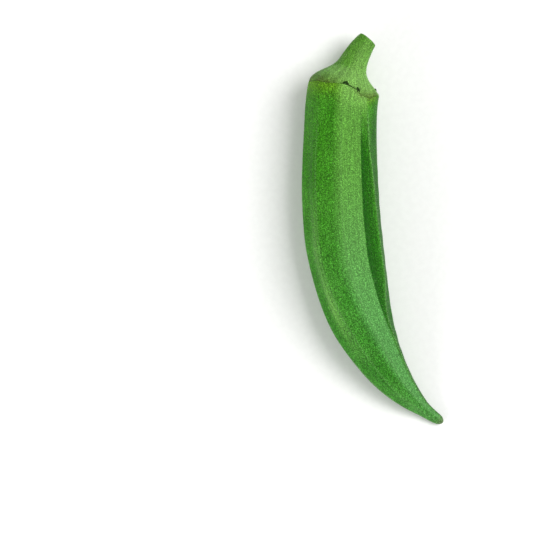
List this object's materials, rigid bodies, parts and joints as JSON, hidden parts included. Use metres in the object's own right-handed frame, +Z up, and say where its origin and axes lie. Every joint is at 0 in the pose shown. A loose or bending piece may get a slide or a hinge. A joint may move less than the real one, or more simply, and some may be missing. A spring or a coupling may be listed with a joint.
{
  "type": "okra pod",
  "caption": "Fresh okra pod lying on its side: a curved, ribbed, tapering green pod with its cut stalk and flared cap.",
  "frame": {"origin": "on the surface that the pod lies on, under the middle of its box", "axes": "+X along the pod from its tip to its stalk, +Z up, and the tip bends towards -Y"},
  "size_m": [0.1082, 0.029, 0.0208],
  "materials": {
    "pod_skin": "waxy satin green skin",
    "stalk_skin": "paler matt green skin"
  },
  "bodies": {
    "root": {"pod": "pod_skin", "stem_cap": "stalk_skin"}
  },
  "joints": []
}
